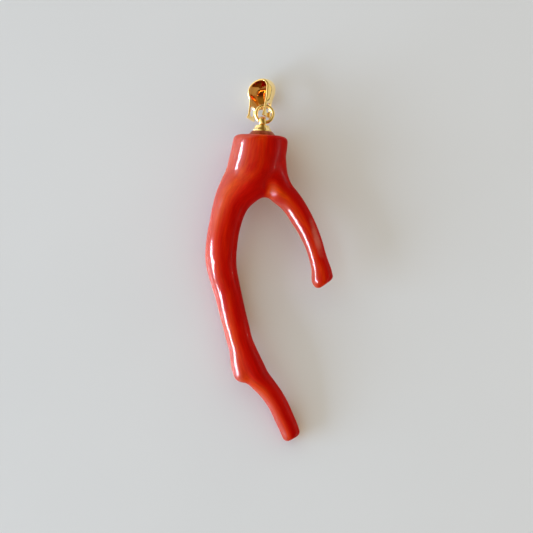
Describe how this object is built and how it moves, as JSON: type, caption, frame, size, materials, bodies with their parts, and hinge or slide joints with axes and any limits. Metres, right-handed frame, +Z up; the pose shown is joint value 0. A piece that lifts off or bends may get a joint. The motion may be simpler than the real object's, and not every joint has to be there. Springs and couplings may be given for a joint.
{
  "type": "coral branch pendant",
  "caption": "Polished forked coral branch with a gold cap set in its sawn top, a jump ring and a flared gold bail for a chain, lying on its side.",
  "frame": {"origin": "under the middle of the pendant's box, on the surface that the pendant lies on", "axes": "+Y from the tip of the twig to the bail, +Z up, out of the surface that it lies on"},
  "size_m": [0.0257, 0.0728, 0.0114],
  "materials": {
    "coral": "high polish",
    "cement": "clear brown, satin",
    "gold": "high polish"
  },
  "bodies": {
    "root": {"coral_branch": "coral", "cement_collar": "cement", "cap": "gold", "jump_ring": "gold", "bail": "gold"}
  },
  "joints": []
}
